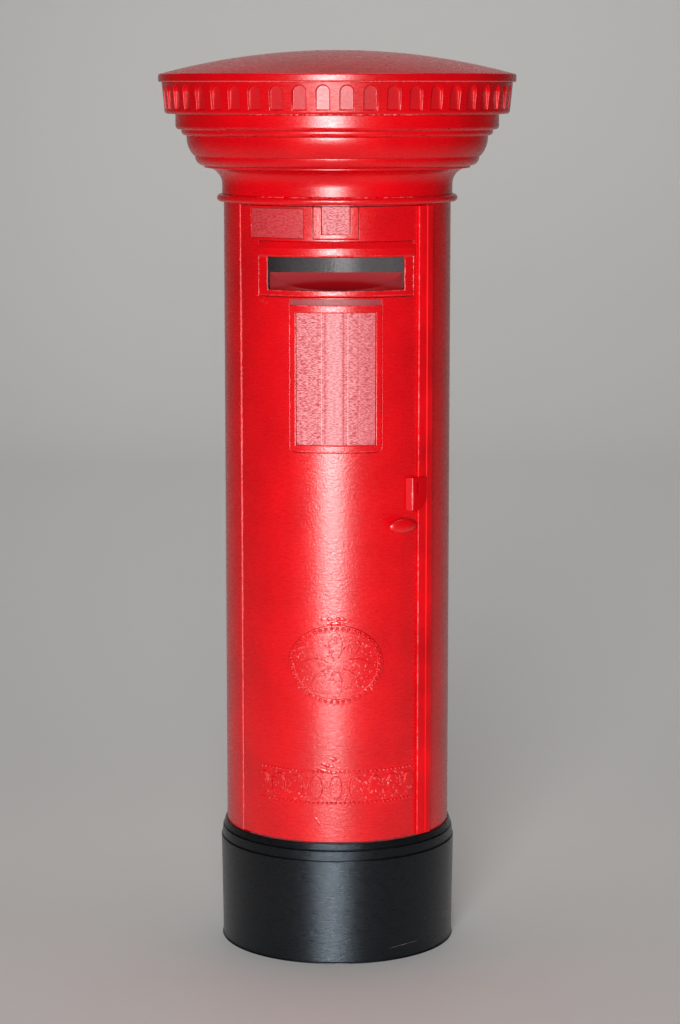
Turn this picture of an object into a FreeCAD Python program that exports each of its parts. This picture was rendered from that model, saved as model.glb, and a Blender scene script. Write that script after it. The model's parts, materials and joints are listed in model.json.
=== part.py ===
import FreeCAD, Part
import math
import os

# Model pillar box: a round printed body on a black plinth, with a cornice and a domed cap, and a curved
# front door that swings on two hidden pins. Sizes are in millimetres and angles in degrees.
# Angles on the round body are counted from its front, which faces -Y, and grow towards +X. Z is up, and the
# floor is at z = 0.

# Fits between pieces
glue_gap = 0.05
running_gap = 0.05
insert_gap = 0.2

# Plinth
plinth_floor = 4.0
plinth_foot_step = 2.0
plinth_face_step = 2.7
plinth_face_height = 46.5
plinth_foot_chamfer = 0.6
plinth_groove = 0.5
plinth_groove_depth = 0.7
plinth_ring_height = 3.9
plinth_ring_foot_step = 2.3
plinth_ring_top_step = 1.9
plinth_collar_height = 2.8
plinth_collar_foot_step = 1.6
plinth_collar_top_step = 0.7

# Body
body_radius = 50.0
body_wall = 3.2
jamb_chamfer = 0.4
foot_flange_width = 9.0
foot_flange_height = 9.0
floor_thickness = 3.0
floor_ledge_width = 3.5
floor_ledge_height = 4.0
floor_gap = 0.1
head_roof = 0.3
head_flange_width = 3.8
bead_projection = 3.0
bead_radius = 1.6
spigot_step = 1.0
spigot_height = 10.5
spigot_head_room = 0.5

# Cornice, from the neck upwards: each step stands out from the moulding below it
neck_step = 0.7
neck_height = 4.3
cove_radius = 7.2
cove_fillet_width = 0.7
cove_fillet_height = 0.9
lower_round_radius = 3.9
lower_round_fillet = 0.4
ovolo_step = 0.65
ovolo_radius = 12.0
ovolo_height = 8.0
ovolo_fillet_height = 0.8
bead_mould_step = 0.5
bead_mould_radius = 1.7
bead_mould_fillet = 0.9
fascia_step = 2.6
fascia_round = 1.6
fascia_height = 5.1
band_step = 4.7
band_flare = 1.2
band_round = 1.5
band_height = 13.7
cornice_wall = 8.0
niche_count = 48
niche_width = 5.6
niche_height = 10.2
niche_foot = 2.1
niche_depth = 0.9

# Cap
lip_step = 1.5
lip_height = 3.5
lip_chamfer = 0.4
dome_rise = 10.4
dome_wall = 3.0
cap_spigot_width = 3.4
cap_spigot_height = 5.0
cap_spigot_gap = 0.1

# Door
door_height = 277.0
door_thickness = 3.5
door_left = -55.7
door_side_gap = 0.6
door_head_gap = 0.3
door_chamfer = 0.4
stile_width = 9.0
stile_extra = 1.0

# Hinge pins
pin_radius = 1.0
pin_inset = 3.8
pin_depth = 1.7
pin_in_door = 6.5
pin_in_body = 3.0
pin_end_room = 0.3
hinge_boss_radius = 3.0
washer_radius = 1.7
washer_thickness = 0.4

# Closing strip over the door's free edge
strip_margin_angle = 2.6
strip_plain_angle = 5.5
strip_rib_angle = 4.5
strip_lap_angle = 3.3
strip_thickness = 1.2
strip_rib = 0.45
strip_body_gap = 0.35

# Letter aperture
aperture_drop = 1.3
aperture_post_angle = 6.2
hood_height = 6.7
slot_half_width = 29.2
slot_foot = 2.9
slot_height = 14.0
aperture_bed = 2.0
aperture_collar_angle = 5.0
aperture_collar_rail = 1.6
aperture_collar_head = 3.3
aperture_face = 0.3
aperture_chamfer = 0.6
hood_projection = 1.0
hood_chamfer = 0.7
hood_slope = 2.8
hood_back = 0.4

# Chute behind the slot
chute_half_width = 28.5
chute_radius = 17.1
chute_start_slope = 15.0
chute_end_slope = 57.0
chute_thickness = 1.6
chute_apron_height = 9.0

# Inserts in the door's face
recess_depth = 1.2
tablet_half_angle = 11.1
tablet_holder_height = 13.6
tablet_holder_rail = 1.9
tablet_holder_proud = 0.8
tablet_post_angle = 4.1
tablet_thickness = 0.7
collection_inset_angle = 8.7
collection_right = -16.0
collection_drop = 0.8
collection_depth = 0.8
collection_thickness = 0.5
notice_drop = 0.7
notice_ledge = 2.7
notice_half_angle = 23.2
notice_frame_height = 63.2
notice_rail = 3.1
notice_post_angle = 3.0
notice_corner = 2.6
notice_proud = 0.25
notice_panel_thickness = 0.45

# Ornament on the door's face
ornament_relief = 0.8
rosette_height = 79.2
rosette_half_width = 20.6
rosette_half_height = 17.6
rosette_ring = 2.4
rosette_petals = 8
rosette_petal_length = 5.6
rosette_petal_width = 2.7
rosette_petal_root = 0.5
rosette_eye = 3.6
frieze_height = 24.6
frieze_margin_angle = 4.8
frieze_eggs = 9
frieze_egg_half_height = 5.2
frieze_egg_half_width = 2.7
frieze_dart_half_height = 2.6
frieze_dart_half_width = 0.9

# Lock and pull
lock_inset_angle = 8.4
lock_height = 152.8
keyhole_plate_half_width = 5.2
keyhole_plate_half_height = 7.1
keyhole_plate_shoulder = 1.5
keyhole_plate_proud = 2.7
keyhole_plate_slope = 2.1
keyhole_plate_belly_width = 3.2
keyhole_plate_belly_drop = 5.1
keyhole_radius = 0.8
keyhole_length = 5.0
keyhole_rise = 2.6
lock_case_left = 7.5
lock_case_right = 4.5
lock_case_half_height = 9.0
lock_case_depth = 6.6
bolt_depth = 2.7
bolt_thickness = 3.0
bolt_half_height = 2.5
bolt_side_gap = 0.15
keeper_gap = 0.3
keeper_setback = 0.3
keeper_length = 5.0
keeper_half_height = 5.0
lock_screw_radius = 0.8
lock_screw_head_radius = 1.5
lock_screw_head = 1.1
lock_screw_bite = 1.5
lock_screw_spread = 6.2
pull_inset_angle = 10.0
pull_drop = 13.2
pull_half_length = 6.8
pull_half_height = 3.2
pull_half_depth = 2.0
pull_stem_radius = 2.0
pull_stem = 2.4
pull_screw_radius = 1.0
pull_screw_bite = 2.0
pull_screw_head_radius = 2.0
pull_screw_head = 1.4

# Screws under the plinth
base_screw_count = 4
base_screw_radius = 1.5
base_screw_head_radius = 3.0
base_screw_sink = 0.4
base_screw_bite = 7.0
screw_slot_width = 0.8
screw_slot_depth = 0.6

# Places that follow from the sizes
sill = plinth_face_height + plinth_ring_height + plinth_collar_height + 2 * plinth_groove
pin_reach = pin_in_body + pin_end_room
door_foot = sill + washer_thickness
door_head = door_foot + door_height
opening_head = door_head + door_head_gap
shoulder = opening_head + pin_reach + head_roof
body_bore = body_radius - body_wall
door_bore = body_radius - door_thickness
stile_bore = door_bore - stile_extra
slot_half_angle = math.degrees(math.asin(slot_half_width / (body_radius + aperture_face)))
aperture_half_angle = slot_half_angle + aperture_post_angle
strip_left = aperture_half_angle + strip_margin_angle
strip_step = strip_left + strip_plain_angle
strip_right = strip_step + strip_rib_angle
door_right = strip_right - strip_lap_angle
collection_left = door_left + collection_inset_angle
frieze_half_angle = strip_left - frieze_margin_angle
lock_angle = door_right - lock_inset_angle
pull_angle = lock_angle - pull_inset_angle
base_screw_circle = body_bore - foot_flange_width / 2
pin_circle = body_radius - pin_depth
pin_angle = door_left + math.degrees(math.asin(pin_inset / pin_circle))
gap_angle = math.degrees(door_side_gap / body_radius)
jamb_left = door_left - gap_angle
jamb_right = door_right + gap_angle
recess_floor = body_radius - recess_depth
insert_angle = math.degrees(insert_gap / body_radius)
tablet_foot = door_head - tablet_holder_height
aperture_head = tablet_foot - aperture_drop
slot_head = aperture_head - hood_height
slot_sill = slot_head - slot_height
aperture_foot = slot_sill - slot_foot
notice_recess_head = aperture_foot - notice_drop
notice_head = notice_recess_head - notice_ledge
notice_foot = notice_head - notice_frame_height
lock_z = door_foot + lock_height
pull_z = lock_z - pull_drop
bolt_face = door_bore - bolt_depth
bolt_back = bolt_face - bolt_thickness
lock_case_back = door_bore - lock_case_depth
keeper_start = body_bore * math.sin(math.radians(jamb_right - lock_angle)) + keeper_setback
neck = body_radius + neck_step
cove_foot = shoulder + neck_height
cove_head = cove_foot + cove_radius
cove_edge = neck + cove_radius
round_edge = cove_edge + cove_fillet_width
round_foot = cove_head + cove_fillet_height
round_head = round_foot + lower_round_radius
round_face = round_edge + lower_round_radius
ovolo_foot = round_head + lower_round_fillet
ovolo_head = ovolo_foot + ovolo_height
ovolo_sweep = math.degrees(math.asin(ovolo_height / ovolo_radius))
ovolo_face = round_face + ovolo_step + ovolo_radius - math.sqrt(ovolo_radius ** 2 - ovolo_height ** 2)
mould_foot = ovolo_head + ovolo_fillet_height
mould_head = mould_foot + bead_mould_radius
mould_edge = ovolo_face + bead_mould_step
mould_face = mould_edge + bead_mould_radius
fascia_foot = mould_head + bead_mould_fillet
fascia_face = mould_face + fascia_step
band_foot = fascia_foot + fascia_round + fascia_height
band_face = fascia_face + band_step
band_edge = band_face + band_flare
cap_seat = band_foot + band_height
cornice_hollow = band_edge - cornice_wall
far = 3 * body_radius
tall = 8 * body_radius

origin = FreeCAD.Vector(0, 0, 0)
up = FreeCAD.Vector(0, 0, 1)


def on_front(angle, radius, z):
    turn = math.radians(angle)
    return FreeCAD.Vector(radius * math.sin(turn), -radius * math.cos(turn), z)


def arc_to(centre, radius, start, end):
    # The end and a middle point of an arc in a turned outline
    points = []
    for angle in (end, (start + end) / 2):
        turn = math.radians(angle)
        points.append(centre[0] + radius * math.cos(turn))
        points.append(centre[1] + radius * math.sin(turn))
    return tuple(points)


def outline_face(points, place):
    # Two numbers are the end of a straight run, four are the end of an arc and a point on it
    edges = []
    here = place(points[0][0], points[0][1])
    for point in points[1:] + points[:1]:
        there = place(point[0], point[1])
        if len(point) == 4:
            edges.append(Part.Arc(here, place(point[2], point[3]), there).toShape())
        elif here.distanceToPoint(there) > 1e-6:
            edges.append(Part.LineSegment(here, there).toShape())
        here = there
    return Part.Face(Part.Wire(edges))


def turned(points, left=-180.0, right=180.0):
    face = outline_face(points, lambda radius, z: FreeCAD.Vector(radius, 0, z))
    solid = face.revolve(origin, up, right - left)
    solid.rotate(origin, up, left - 90)
    return solid


def sector(inner, outer, foot, head, left=-180.0, right=180.0):
    return turned([(inner, foot), (outer, foot), (outer, head), (inner, head)], left, right)


def front_prism(points, foot, head, angle=0.0, z=0.0):
    # An outline drawn on the front and drawn out radially, then turned to its angle
    face = outline_face(points, lambda across, height: FreeCAD.Vector(across, -foot, z + height))
    solid = face.extrude(FreeCAD.Vector(0, foot - head, 0))
    solid.rotate(origin, up, angle)
    return solid


def rectangle(left, right, foot, head):
    return [(left, foot), (right, foot), (right, head), (left, head)]


def front_block(inner, outer, left, right, foot, head, angle, z):
    return front_prism(rectangle(left, right, foot, head), inner, outer, angle, z)


def front_rod(radius, inner, outer, angle, z):
    rod = Part.makeCylinder(radius, outer - inner, FreeCAD.Vector(0, -inner, z), FreeCAD.Vector(0, -1, 0))
    rod.rotate(origin, up, angle)
    return rod


def front_ellipse(half_width, half_height, inner, outer, across=0.0, z=0.0, tilt=0.0):
    centre = FreeCAD.Vector(across, -inner, z)
    if half_width >= half_height:
        ellipse = Part.Ellipse(FreeCAD.Vector(0, 0, 0), half_width, half_height)
    else:
        ellipse = Part.Ellipse(FreeCAD.Vector(0, 0, 0), half_height, half_width)
        tilt = tilt + 90
    face = Part.Face(Part.Wire(ellipse.toShape()))
    face.rotate(origin, up, tilt)
    face.rotate(origin, FreeCAD.Vector(1, 0, 0), 90)
    face.translate(centre)
    return face.extrude(FreeCAD.Vector(0, inner - outer, 0))


def upright_rod(radius, angle, circle, foot, head):
    return Part.makeCylinder(radius, head - foot, on_front(angle, circle, foot))


def upright_edges(solid, radius, angle):
    # Straight upright edges at one radius and angle
    edges = []
    for edge in solid.Edges:
        ends = [vertex.Point for vertex in edge.Vertexes]
        if len(ends) == 2 and abs(ends[0].z - ends[1].z) > 1e-4:
            spot = on_front(angle, radius, 0)
            if max(math.hypot(end.x - spot.x, end.y - spot.y) for end in ends) < 1e-4:
                edges.append(edge)
    return edges


def radial_edges(solid, z):
    # Straight radial edges at one height, which are the corners of a bent plate
    edges = []
    for edge in solid.Edges:
        ends = [vertex.Point for vertex in edge.Vertexes]
        if len(ends) == 2 and max(abs(end.z - z) for end in ends) < 1e-4:
            if abs(math.hypot(ends[0].x, ends[0].y) - math.hypot(ends[1].x, ends[1].y)) > 1e-4:
                edges.append(edge)
    return edges


def make_plinth():
    foot = body_radius + plinth_foot_step
    face = body_radius + plinth_face_step
    ring_foot = plinth_face_height + plinth_groove
    ring_head = ring_foot + plinth_ring_height
    collar_foot = ring_head + plinth_groove
    drum = turned([
        (0, 0),
        (foot - plinth_foot_chamfer, 0),
        (foot, plinth_foot_chamfer),
        (face, plinth_face_height),
        (face - plinth_groove_depth, plinth_face_height),
        (face - plinth_groove_depth, ring_foot),
        (body_radius + plinth_ring_foot_step, ring_foot),
        (body_radius + plinth_ring_top_step, ring_head),
        (body_radius + plinth_ring_top_step - plinth_groove_depth, ring_head),
        (body_radius + plinth_ring_top_step - plinth_groove_depth, collar_foot),
        (body_radius + plinth_collar_foot_step, collar_foot),
        (body_radius + plinth_collar_top_step, sill),
        (body_radius + glue_gap, sill),
        (body_radius + glue_gap, plinth_floor),
        (0, plinth_floor),
    ])
    return drum.cut(Part.makeCompound([base_screw(index, glue_gap, 0) for index in range(base_screw_count)]))


def base_screw(index, clearance, slot_depth):
    # Countersunk, its head just under the plinth's floor
    head = base_screw_head_radius + clearance
    shank = base_screw_radius + clearance
    cone = head - shank
    tip = plinth_floor + base_screw_bite
    low = base_screw_sink if slot_depth else 0
    screw = turned([
        (0, low),
        (head, low),
        (head, base_screw_sink + screw_slot_depth),
        (shank, base_screw_sink + screw_slot_depth + cone),
        (shank, tip + clearance),
        (0, tip + clearance),
    ])
    if slot_depth:
        slot = Part.makeBox(2 * head, screw_slot_width, slot_depth)
        slot.translate(FreeCAD.Vector(-head, -screw_slot_width / 2, base_screw_sink))
        screw = screw.cut(slot)
    screw.translate(on_front(360 / base_screw_count * (index + 0.5), base_screw_circle, 0))
    return screw


def make_base_screws():
    return Part.makeCompound([base_screw(index, 0, screw_slot_depth) for index in range(base_screw_count)])


def make_body_shell():
    ledge_head = sill - floor_thickness
    spigot = body_radius - spigot_step
    bead_foot = shoulder - 2 * bead_radius
    bead_nose = (body_radius + bead_projection - bead_radius, shoulder - bead_radius)
    tube = turned([
        (body_bore, plinth_floor),
        (body_radius, plinth_floor),
        (body_radius, bead_foot),
        (bead_nose[0], bead_foot),
        arc_to(bead_nose, bead_radius, -90, 90),
        (spigot, shoulder),
        (spigot, shoulder + spigot_height),
        (body_bore, shoulder + spigot_height),
        (body_bore, shoulder),
        (body_bore - head_flange_width, shoulder),
        (body_bore - head_flange_width, opening_head),
        (body_bore, opening_head),
        (body_bore, ledge_head),
        (body_bore - floor_ledge_width, ledge_head),
        (body_bore - floor_ledge_width, ledge_head - floor_ledge_height),
        (body_bore, ledge_head - floor_ledge_height - floor_ledge_width),
        (body_bore, plinth_floor + foot_flange_height),
        (body_bore - foot_flange_width, plinth_floor + foot_flange_height),
        (body_bore - foot_flange_width, plinth_floor),
    ])
    tube = tube.cut(sector(stile_bore, far, sill, opening_head, jamb_left, jamb_right))
    jambs = upright_edges(tube, body_radius, jamb_left) + upright_edges(tube, body_radius, jamb_right)
    tube = tube.makeChamfer(jamb_chamfer, jambs)
    boss = upright_rod(hinge_boss_radius, pin_angle, pin_circle, sill - pin_reach - hinge_boss_radius, sill)
    tube = tube.fuse(boss.common(Part.makeCylinder(body_radius - body_wall / 2, tall)))
    socket = pin_radius + running_gap
    sockets = [
        upright_rod(socket, pin_angle, pin_circle, sill - pin_reach, sill),
        upright_rod(socket, pin_angle, pin_circle, opening_head, opening_head + pin_reach),
    ]
    screws = [base_screw(index, glue_gap, 0) for index in range(base_screw_count)]
    return tube.cut(Part.makeCompound(sockets + screws)).removeSplitter()


def make_floor_plate():
    plate = sector(0, body_bore - floor_gap, sill - floor_thickness, sill)
    notch = upright_rod(hinge_boss_radius + floor_gap, pin_angle, pin_circle, 0, shoulder)
    return plate.cut(notch)


def make_cornice():
    bore = body_radius - spigot_step + glue_gap
    bore_head = shoulder + spigot_height + spigot_head_room
    cornice = turned([
        (bore, shoulder),
        (neck, shoulder),
        (neck, cove_foot),
        arc_to((cove_edge, cove_foot), cove_radius, 180, 90),
        (round_edge, cove_head),
        (round_edge, round_foot),
        arc_to((round_edge, round_head), lower_round_radius, -90, 0),
        (round_face, ovolo_foot),
        (round_face + ovolo_step, ovolo_foot),
        arc_to((ovolo_face - ovolo_radius, ovolo_head), ovolo_radius, -ovolo_sweep, 0),
        (ovolo_face, mould_foot),
        (mould_edge, mould_foot),
        arc_to((mould_edge, mould_head), bead_mould_radius, -90, 0),
        (mould_face, fascia_foot),
        (fascia_face - fascia_round, fascia_foot),
        arc_to((fascia_face - fascia_round, fascia_foot + fascia_round), fascia_round, -90, 0),
        (fascia_face, band_foot),
        (band_face - band_round, band_foot),
        arc_to((band_face - band_round, band_foot + band_round), band_round, -90, 0),
        (band_edge, cap_seat),
        (cornice_hollow, cap_seat),
        (cornice_hollow, band_foot),
        (bore, bore_head),
    ])
    niches = []
    foot = band_foot + niche_foot
    spring = foot + niche_height - niche_width / 2
    half = niche_width / 2
    outline = [
        (-half, foot),
        (half, foot),
        (half, spring),
        arc_to((0, spring), half, 0, 90),
        arc_to((0, spring), half, 90, 180),
    ]
    for index in range(niche_count):
        angle = 360 / niche_count * (index + 0.5)
        niches.append(front_prism(outline, band_face - niche_depth, far, angle))
    return cornice.cut(Part.makeCompound(niches))


def make_cap_lid():
    lip = band_edge + lip_step
    dome_edge = lip - lip_chamfer
    dome_foot = cap_seat + lip_height
    apex = dome_foot + dome_rise
    dome_radius = (dome_edge ** 2 + dome_rise ** 2) / (2 * dome_rise)
    centre = (0, apex - dome_radius)
    spigot = cornice_hollow - cap_spigot_gap
    inside = spigot - cap_spigot_width
    dome_start = math.degrees(math.acos(dome_edge / dome_radius))
    roof_radius = dome_radius - dome_wall
    roof_start = math.degrees(math.acos(inside / roof_radius))
    return turned([
        (spigot, cap_seat),
        (lip - lip_chamfer, cap_seat),
        (lip, cap_seat + lip_chamfer),
        (lip, dome_foot - lip_chamfer),
        (dome_edge, dome_foot),
        arc_to(centre, dome_radius, dome_start, 90),
        (0, apex - dome_wall),
        arc_to(centre, roof_radius, 90, roof_start),
        (inside, cap_seat - cap_spigot_height),
        (spigot, cap_seat - cap_spigot_height),
    ])


def make_rosette():
    # Eight petals round an eye, inside an oval wreath
    z = door_foot + rosette_height
    inner_width = rosette_half_width - rosette_ring
    inner_height = rosette_half_height - rosette_ring
    wreath = front_ellipse(rosette_half_width, rosette_half_height, 0, far, 0, z)
    wreath = wreath.cut(front_ellipse(inner_width, inner_height, 0, far, 0, z))
    flower = front_rod(rosette_eye, 0, far, 0, z)
    flower_reach = rosette_eye + rosette_petal_length - rosette_petal_root
    for index in range(rosette_petals):
        angle = 360 / rosette_petals * index
        turn = math.radians(angle)
        across = flower_reach * math.cos(turn)
        height = z + flower_reach * math.sin(turn)
        petal = front_ellipse(rosette_petal_length, rosette_petal_width, 0, far, across, height, angle)
        flower = flower.fuse(petal)
    return wreath.fuse(flower)


def make_frieze():
    # A row of upright ovals with slim darts between them
    pieces = []
    z = door_foot + frieze_height
    pitch = 2 * frieze_half_angle / (frieze_eggs - 1)
    for index in range(frieze_eggs):
        egg = front_ellipse(frieze_egg_half_width, frieze_egg_half_height, 0, far, 0, z)
        egg.rotate(origin, up, -frieze_half_angle + pitch * index)
        pieces.append(egg)
    for index in range(frieze_eggs - 1):
        dart = front_ellipse(frieze_dart_half_width, frieze_dart_half_height, 0, far, 0, z)
        dart.rotate(origin, up, -frieze_half_angle + pitch * (index + 0.5))
        pieces.append(dart)
    return Part.makeCompound(pieces)


def notice_outline(inner, outer, foot, head, half_angle, corner):
    plate = sector(inner, outer, foot, head, -half_angle, half_angle)
    return plate.makeFillet(corner, radial_edges(plate, foot))


def make_door():
    leaf = sector(door_bore, body_radius, door_foot, door_head, door_left, door_right)
    stile_right = door_left + math.degrees(stile_width / body_radius)
    leaf = leaf.fuse(sector(stile_bore, body_radius, door_foot, door_head, door_left, stile_right))
    leaf = leaf.removeSplitter()
    leaf = leaf.makeChamfer(door_chamfer, upright_edges(leaf, body_radius, door_left))
    relief_foot = body_radius - ornament_relief
    relief_face = body_radius + ornament_relief
    relief = sector(relief_foot, relief_face, door_foot, aperture_foot, door_left, door_right)
    leaf = leaf.fuse(relief.common(make_rosette()))
    leaf = leaf.fuse(relief.common(make_frieze()))
    bed = body_radius - aperture_bed
    frame_angle = aperture_half_angle + insert_angle
    collar_angle = slot_half_angle + aperture_collar_angle + insert_angle
    collar_foot = slot_sill - aperture_collar_rail - insert_gap
    collar_head = slot_head + aperture_collar_head + insert_gap
    tablet_angle = tablet_half_angle + insert_angle
    collection_floor = body_radius - collection_depth
    collection_head = door_head - collection_drop
    cuts = [
        sector(bed, far, aperture_foot - insert_gap, aperture_head + insert_gap, -frame_angle, frame_angle),
        sector(stile_bore, far, collar_foot, collar_head, -collar_angle, collar_angle),
        notice_outline(
            recess_floor, far, notice_foot - insert_gap, notice_recess_head,
            notice_half_angle + insert_angle, notice_corner + insert_gap
        ),
        sector(recess_floor, far, tablet_foot - insert_gap, door_head, -tablet_angle, tablet_angle),
        sector(collection_floor, far, tablet_foot, collection_head, collection_left, collection_right),
        upright_rod(pin_radius, pin_angle, pin_circle, door_foot, door_foot + pin_in_door),
        upright_rod(pin_radius, pin_angle, pin_circle, door_head - pin_in_door, door_head),
        keyhole(stile_bore, far),
        front_rod(pull_screw_radius + glue_gap, stile_bore, far, pull_angle, pull_z),
    ]
    cuts += [lock_screw(side, glue_gap, False) for side in (-1, 1)]
    return leaf.cut(Part.makeCompound(cuts))


def make_hinge_pins():
    return Part.makeCompound([
        upright_rod(pin_radius, pin_angle, pin_circle, sill - pin_in_body, door_foot + pin_in_door),
        upright_rod(pin_radius, pin_angle, pin_circle, door_head - pin_in_door, opening_head + pin_in_body),
    ])


def make_hinge_washer():
    washer = upright_rod(washer_radius, pin_angle, pin_circle, sill, door_foot)
    return washer.cut(upright_rod(pin_radius + running_gap, pin_angle, pin_circle, sill, door_foot))


def strip_shape(clearance):
    seat = body_radius + glue_gap - clearance
    face = body_radius + strip_thickness + clearance
    spread = math.degrees(clearance / body_radius)
    strip = sector(seat, face, door_foot, door_head, strip_left - spread, strip_right + spread)
    rib = sector(seat, face + strip_rib, door_foot, door_head, strip_step - spread, strip_right + spread)
    lap = body_radius + strip_body_gap - clearance
    over_body = sector(0, lap, door_foot, door_head, door_right, strip_right + gap_angle + spread)
    return strip.fuse(rib).removeSplitter().cut(over_body)


def make_closing_strip():
    return strip_shape(0)


def make_aperture_frame():
    # A bent frame with a hood over the slot, and a collar through the door
    bed = body_radius - aperture_bed + glue_gap
    face = body_radius + aperture_face
    hood = body_radius + hood_projection
    rail = turned([
        (bed, aperture_foot),
        (face - aperture_chamfer, aperture_foot),
        (face, aperture_foot + aperture_chamfer),
        (face, slot_head),
        (hood, slot_head + hood_chamfer),
        (hood, aperture_head - hood_slope),
        (body_radius - hood_back, aperture_head),
        (bed, aperture_head),
    ], -aperture_half_angle, aperture_half_angle)
    collar_angle = slot_half_angle + aperture_collar_angle
    collar_foot = slot_sill - aperture_collar_rail
    collar_head = slot_head + aperture_collar_head
    collar = sector(door_bore, bed, collar_foot, collar_head, -collar_angle, collar_angle)
    frame = rail.fuse(collar).removeSplitter()
    # The slot's ends are cut straight back
    return frame.cut(front_prism(rectangle(-slot_half_width, slot_half_width, slot_sill, slot_head), 0, far))


def chute_prism(outline):
    face = outline_face(outline, lambda y, z: FreeCAD.Vector(-chute_half_width, y, z))
    return face.extrude(FreeCAD.Vector(2 * chute_half_width, 0, 0))


def make_letter_chute():
    # A scoop that rises inwards behind the slot, on an apron against the door's inside
    bore = door_bore - glue_gap
    start_y = -bore
    start_z = slot_sill - glue_gap
    first = math.radians(chute_start_slope)
    centre = (start_y - chute_radius * math.sin(first), start_z + chute_radius * math.cos(first))
    first_angle = -90 + chute_start_slope
    last_angle = -90 + chute_end_slope
    outer = chute_radius + chute_thickness
    inner_start = arc_to(centre, chute_radius, last_angle, first_angle)[:2]
    outer_end = arc_to(centre, outer, first_angle, last_angle)[:2]
    outer_start = arc_to(centre, outer, last_angle, first_angle)[:2]
    ramp = arc_to(centre, chute_radius, first_angle, last_angle)
    scoop = chute_prism([
        inner_start,
        ramp,
        outer_end,
        arc_to(centre, outer, last_angle, first_angle),
        outer_start,
    ])
    scoop = scoop.common(Part.makeCylinder(bore, tall))
    # The apron follows the door's curve up to the ramp, so no gap shows at the slot's corners
    apron_foot = start_z - chute_apron_height
    below = chute_prism([
        inner_start,
        ramp,
        (ramp[0], apron_foot),
        (start_y, apron_foot),
    ])
    apron = below.common(sector(bore - chute_thickness, bore, apron_foot, slot_head))
    return scoop.fuse(apron).removeSplitter()


def make_collection_plate():
    seat = body_radius - collection_depth + glue_gap
    head = door_head - collection_drop - insert_gap
    foot = tablet_foot + insert_gap
    left = collection_left + insert_angle
    right = collection_right - insert_angle
    return sector(seat, seat + collection_thickness, foot, head, left, right)


def make_tablet_holder():
    seat = recess_floor + glue_gap
    face = body_radius + tablet_holder_proud
    inside = tablet_half_angle - tablet_post_angle
    plate = sector(seat, face, tablet_foot, door_head, -tablet_half_angle, tablet_half_angle)
    return plate.cut(sector(0, far, tablet_foot + tablet_holder_rail, door_head, -inside, inside))


def make_tablet():
    seat = recess_floor + glue_gap
    foot = tablet_foot + tablet_holder_rail
    inside = tablet_half_angle - tablet_post_angle - insert_angle
    return sector(seat, seat + tablet_thickness, foot, door_head, -inside, inside)


def make_notice_frame():
    seat = recess_floor + glue_gap
    face = body_radius + notice_proud
    plate = notice_outline(seat, face, notice_foot, notice_head, notice_half_angle, notice_corner)
    inside = notice_half_angle - notice_post_angle
    return plate.cut(sector(0, far, notice_foot + notice_rail, notice_head - notice_rail, -inside, inside))


def make_notice_panel():
    seat = recess_floor + glue_gap
    inside = notice_half_angle - notice_post_angle - insert_angle
    foot = notice_foot + notice_rail + insert_gap
    head = notice_head - notice_rail - insert_gap
    return sector(seat, seat + notice_panel_thickness, foot, head, -inside, inside)


def keyhole(inner, outer):
    half = keyhole_length / 2 - keyhole_radius
    outline = [
        (keyhole_radius, -half),
        (keyhole_radius, half),
        arc_to((0, half), keyhole_radius, 0, 180),
        (-keyhole_radius, -half),
        arc_to((0, -half), keyhole_radius, 180, 360),
    ]
    return front_prism(outline, inner, outer, lock_angle, lock_z + keyhole_rise)


def make_keyhole_plate():
    # Flat at the top and left, and swept up to the right below, over the door and the strip's edge
    wide = keyhole_plate_half_width
    high = keyhole_plate_half_height
    outline = [
        (-wide, high),
        (-wide, -high),
        (wide, -keyhole_plate_shoulder, keyhole_plate_belly_width, -keyhole_plate_belly_drop),
        (wide, high),
    ]
    shield = front_prism(outline, body_bore, far, lock_angle, lock_z)
    seat = body_radius + glue_gap
    face = body_radius + keyhole_plate_proud
    shield = shield.common(sector(seat, face, 0, shoulder))
    side = lock_angle - math.degrees(math.asin(wide / face))
    shield = shield.makeChamfer(keyhole_plate_slope, upright_edges(shield, face, side))
    return shield.cut(strip_shape(glue_gap)).cut(keyhole(stile_bore, far))


def make_lock_case():
    case = front_block(
        lock_case_back, far, -lock_case_left, lock_case_right, -lock_case_half_height, lock_case_half_height,
        lock_angle, lock_z
    )
    case = case.common(Part.makeCylinder(door_bore - glue_gap, tall))
    channel = front_block(
        bolt_back - bolt_side_gap, bolt_face + bolt_side_gap, -far, far,
        -bolt_half_height - bolt_side_gap, bolt_half_height + bolt_side_gap, lock_angle, lock_z
    )
    screws = [lock_screw(side, glue_gap, False) for side in (-1, 1)]
    return case.cut(Part.makeCompound([channel, keyhole(bolt_face, far)] + screws))


def make_lock_bolt():
    return front_block(
        bolt_back, bolt_face, -lock_case_left, lock_case_right, -bolt_half_height, bolt_half_height,
        lock_angle, lock_z
    )


def screw_slot(back, angle, z):
    half = screw_slot_width / 2
    return front_block(back, back + screw_slot_depth, -far, far, -half, half, angle, z)


def lock_screw(side, clearance, with_head):
    z = lock_z + side * lock_screw_spread
    tip = door_bore + lock_screw_bite + clearance
    screw = front_rod(lock_screw_radius + clearance, lock_case_back, tip, lock_angle, z)
    if with_head:
        head_back = lock_case_back - lock_screw_head
        head = front_rod(lock_screw_head_radius, head_back, lock_case_back, lock_angle, z)
        screw = screw.fuse(head.cut(screw_slot(head_back, lock_angle, z))).removeSplitter()
    return screw


def make_lock_screws():
    return Part.makeCompound([lock_screw(side, 0, True) for side in (-1, 1)])


def make_lock_keeper():
    block = front_block(
        bolt_face + keeper_gap, far, keeper_start, keeper_start + keeper_length,
        -keeper_half_height, keeper_half_height, lock_angle, lock_z
    )
    return block.common(Part.makeCylinder(body_bore - glue_gap, tall))


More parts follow.
